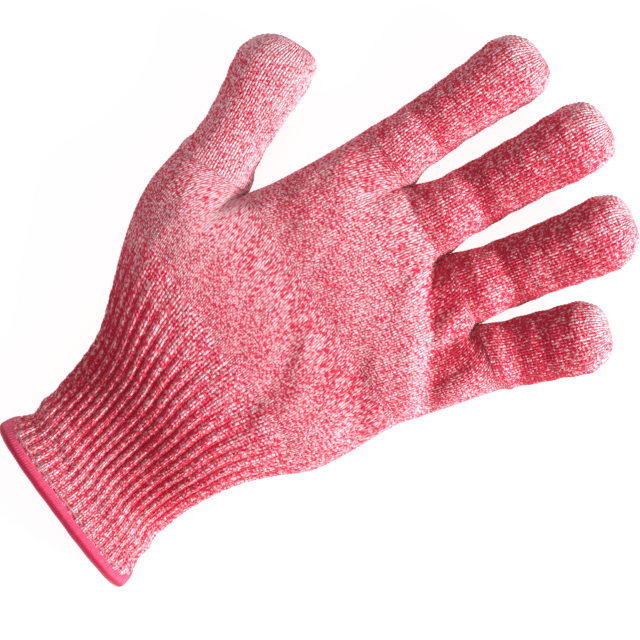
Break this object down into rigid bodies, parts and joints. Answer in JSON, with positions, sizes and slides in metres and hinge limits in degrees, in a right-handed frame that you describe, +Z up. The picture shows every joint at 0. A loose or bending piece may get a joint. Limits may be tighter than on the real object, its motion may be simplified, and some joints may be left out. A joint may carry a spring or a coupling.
{
  "type": "cut resistant glove",
  "caption": "Seamless knitted work glove for a left hand, with hollow digits that bend at each joint, a ribbed elastic cuff and an overlocked hem.",
  "frame": {"origin": "under the middle of the whole glove, on the surface it lies on", "axes": "+Z up out of the palm, +Y from the cuff to the fingertips, +X towards the little finger, with the thumb on the -X side"},
  "size_m": [0.1706, 0.2466, 0.0334],
  "materials": {
    "knit": "marled red and white plain knit",
    "rib_knit": "marled red and white rib knit",
    "overlock_thread": "solid red overlock thread",
    "elastic": "covered elastane thread"
  },
  "bodies": {
    "palm": {"palm": "knit", "wrist_band": "knit", "index_knuckle_band": "knit", "middle_knuckle_band": "knit", "ring_knuckle_band": "knit", "little_knuckle_band": "knit", "thumb_knuckle_band": "knit"},
    "cuff": {"cuff": "rib_knit", "hem_overlock": "overlock_thread", "cuff_elastic": "elastic"},
    "index_base": {"index_base": "knit", "index_middle_joint_band": "knit"},
    "index_middle": {"index_middle": "knit", "index_tip_joint_band": "knit"},
    "index_tip": {"index_tip": "knit"},
    "middle_base": {"middle_base": "knit", "middle_middle_joint_band": "knit"},
    "middle_middle": {"middle_middle": "knit", "middle_tip_joint_band": "knit"},
    "middle_tip": {"middle_tip": "knit"},
    "ring_base": {"ring_base": "knit", "ring_middle_joint_band": "knit"},
    "ring_middle": {"ring_middle": "knit", "ring_tip_joint_band": "knit"},
    "ring_tip": {"ring_tip": "knit"},
    "little_base": {"little_base": "knit", "little_middle_joint_band": "knit"},
    "little_middle": {"little_middle": "knit", "little_tip_joint_band": "knit"},
    "little_tip": {"little_tip": "knit"},
    "thumb_base": {"thumb_base": "knit", "thumb_tip_joint_band": "knit"},
    "thumb_tip": {"thumb_tip": "knit"}
  },
  "joints": [
    {"name": "wrist", "type": "hinge", "parent": "palm", "child": "cuff", "pos_m": [0.00544, -0.0616, 0.014], "axis": [-1, 0, 0], "range_deg": [-45, 60], "deforming": ["wrist_band"]},
    {"name": "index_knuckle", "type": "hinge", "parent": "palm", "child": "index_base", "pos_m": [-0.02236, 0.0484, 0.0103], "axis": [1, 0, 0], "range_deg": [-20, 65], "deforming": ["index_knuckle_band"]},
    {"name": "index_middle_joint", "type": "hinge", "parent": "index_base", "child": "index_middle", "pos_m": [-0.02236, 0.0724, 0.0103], "axis": [1, 0, 0], "range_deg": [-13, 70], "deforming": ["index_middle_joint_band"]},
    {"name": "index_tip_joint", "type": "hinge", "parent": "index_middle", "child": "index_tip", "pos_m": [-0.02236, 0.09452, 0.01541], "axis": [1, 0, 0], "range_deg": [-5, 42], "deforming": ["index_tip_joint_band"]},
    {"name": "middle_knuckle", "type": "hinge", "parent": "palm", "child": "middle_base", "pos_m": [0.00564, 0.0484, 0.0104], "axis": [0.999, -0.0436, 0], "range_deg": [-20, 65], "deforming": ["middle_knuckle_band"]},
    {"name": "middle_middle_joint", "type": "hinge", "parent": "middle_base", "child": "middle_middle", "pos_m": [0.00791, 0.0743, 0.0104], "axis": [0.999, -0.0436, 0], "range_deg": [-15, 70], "deforming": ["middle_middle_joint_band"]},
    {"name": "middle_tip_joint", "type": "hinge", "parent": "middle_middle", "child": "middle_tip", "pos_m": [0.00999, 0.09807, 0.01679], "axis": [0.999, -0.0436, 0], "range_deg": [-5, 42], "deforming": ["middle_tip_joint_band"]},
    {"name": "ring_knuckle", "type": "hinge", "parent": "palm", "child": "ring_base", "pos_m": [0.03394, 0.0452, 0.0103], "axis": [0.995, -0.1002, 0], "range_deg": [-20, 65], "deforming": ["ring_knuckle_band"]},
    {"name": "ring_middle_joint", "type": "hinge", "parent": "ring_base", "child": "ring_middle", "pos_m": [0.03853, 0.06774, 0.0103], "axis": [0.995, -0.1002, 0], "range_deg": [-15, 70], "deforming": ["ring_middle_joint_band"]},
    {"name": "ring_tip_joint", "type": "hinge", "parent": "ring_middle", "child": "ring_tip", "pos_m": [0.04282, 0.08885, 0.01607], "axis": [0.995, -0.1002, 0], "range_deg": [-5, 42], "deforming": ["ring_tip_joint_band"]},
    {"name": "little_knuckle", "type": "hinge", "parent": "palm", "child": "little_base", "pos_m": [0.06024, 0.0374, 0.0099], "axis": [0.9848, -0.1736, 0], "range_deg": [-20, 65], "deforming": ["little_knuckle_band"]},
    {"name": "little_middle_joint", "type": "hinge", "parent": "little_base", "child": "little_middle", "pos_m": [0.06623, 0.05384, 0.0099], "axis": [0.9848, -0.1736, 0], "range_deg": [-13, 70], "deforming": ["little_middle_joint_band"]},
    {"name": "little_tip_joint", "type": "hinge", "parent": "little_middle", "child": "little_tip", "pos_m": [0.07139, 0.06804, 0.01339], "axis": [0.9848, -0.1736, 0], "range_deg": [-5, 42], "deforming": ["little_tip_joint_band"]},
    {"name": "thumb_knuckle", "type": "hinge", "parent": "palm", "child": "thumb_base", "pos_m": [-0.05456, -0.0046, 0.0118], "axis": [0.91, 0.4147, 0], "range_deg": [-15, 50], "deforming": ["thumb_knuckle_band"]},
    {"name": "thumb_tip_joint", "type": "hinge", "parent": "thumb_base", "child": "thumb_tip", "pos_m": [-0.06553, 0.01948, 0.01319], "axis": [0.91, 0.4147, 0], "range_deg": [-13, 65], "deforming": ["thumb_tip_joint_band"]}
  ]
}
